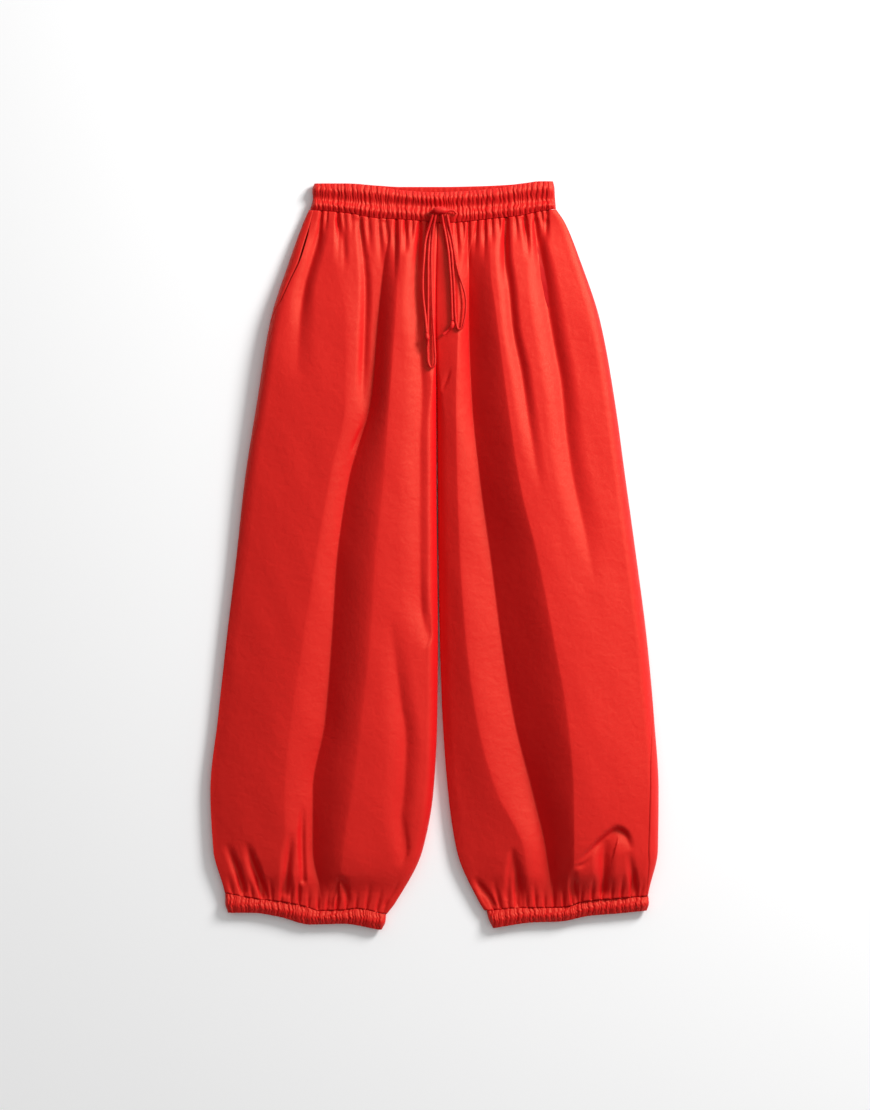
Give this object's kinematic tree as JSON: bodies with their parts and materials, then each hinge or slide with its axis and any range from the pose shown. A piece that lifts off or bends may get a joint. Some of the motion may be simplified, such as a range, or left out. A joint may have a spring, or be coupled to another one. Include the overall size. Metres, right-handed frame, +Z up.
{
  "type": "balloon trousers",
  "caption": "Wide balloon trousers of crisp red woven cloth, laid flat front up, with a gathered waistband, a tied drawstring and gathered cuffs.",
  "frame": {"origin": "centre of the garment's box, on the surface that the trousers lie on", "axes": "+X to the viewer's right, +Y from the cuffs to the waistband, +Z up out of the trousers' front"},
  "size_m": [0.612, 1.022, 0.0514],
  "materials": {
    "cloth": "crisp plain weave with a slight sheen",
    "gathered_cloth": "the same cloth, gathered over elastic",
    "pocketing": "matt plain weave",
    "drawcord": "narrow tube of the same cloth"
  },
  "bodies": {
    "root": {"front_left": "cloth", "front_right": "cloth", "back_left": "cloth", "back_right": "cloth", "waistband_front": "gathered_cloth", "waistband_back": "gathered_cloth", "cuff_left_front": "gathered_cloth", "cuff_left_back": "gathered_cloth", "cuff_right_front": "gathered_cloth", "cuff_right_back": "gathered_cloth", "pocket_bag_left": "pocketing", "pocket_bag_right": "pocketing", "drawstring_knot": "drawcord", "drawstring_loop_left": "drawcord", "drawstring_loop_right": "drawcord", "drawstring_tail_left": "drawcord", "drawstring_tail_right": "drawcord", "tail_knot_left": "drawcord", "tail_knot_right": "drawcord"}
  },
  "joints": []
}
